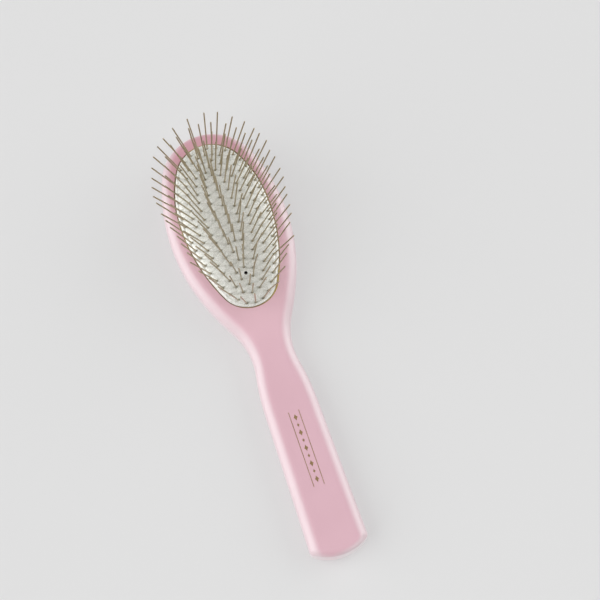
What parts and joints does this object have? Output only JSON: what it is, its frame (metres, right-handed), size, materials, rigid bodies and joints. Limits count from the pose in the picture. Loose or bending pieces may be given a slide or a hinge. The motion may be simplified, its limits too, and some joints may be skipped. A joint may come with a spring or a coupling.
{
  "type": "pet grooming pin brush",
  "caption": "Oval pet grooming pin brush: a flat handle and head carrying a domed rubber cushion set with straight steel pins.",
  "frame": {"origin": "on the flat back, on the mid-plane, half-way between the end of the handle and the top of the head", "axes": "+Y along the brush from the handle to the head, +Z from the back towards the pin tips, +X across the head"},
  "size_m": [0.0638, 0.23, 0.0464],
  "materials": {
    "lacquered_wood": "satin pastel pink lacquer",
    "cushion_rubber": "silvery grey, finely grained",
    "backing_cloth": "tan woven cloth",
    "pin_steel": "plain drawn wire"
  },
  "bodies": {
    "root": {"brush_body": "lacquered_wood", "rubber_cushion": "cushion_rubber", "cushion_backing": "backing_cloth", "pins_row_01": "pin_steel", "pins_row_02": "pin_steel", "pins_row_03": "pin_steel", "pins_row_04": "pin_steel", "pins_row_05": "pin_steel", "pins_row_06": "pin_steel", "pins_row_07": "pin_steel", "pins_row_08": "pin_steel", "pins_row_09": "pin_steel", "pins_row_10": "pin_steel", "pins_row_11": "pin_steel", "pins_row_12": "pin_steel", "pins_row_13": "pin_steel", "pins_row_14": "pin_steel", "pins_row_15": "pin_steel", "pins_row_16": "pin_steel", "pins_row_17": "pin_steel", "pins_row_18": "pin_steel", "pins_row_19": "pin_steel"}
  },
  "joints": []
}
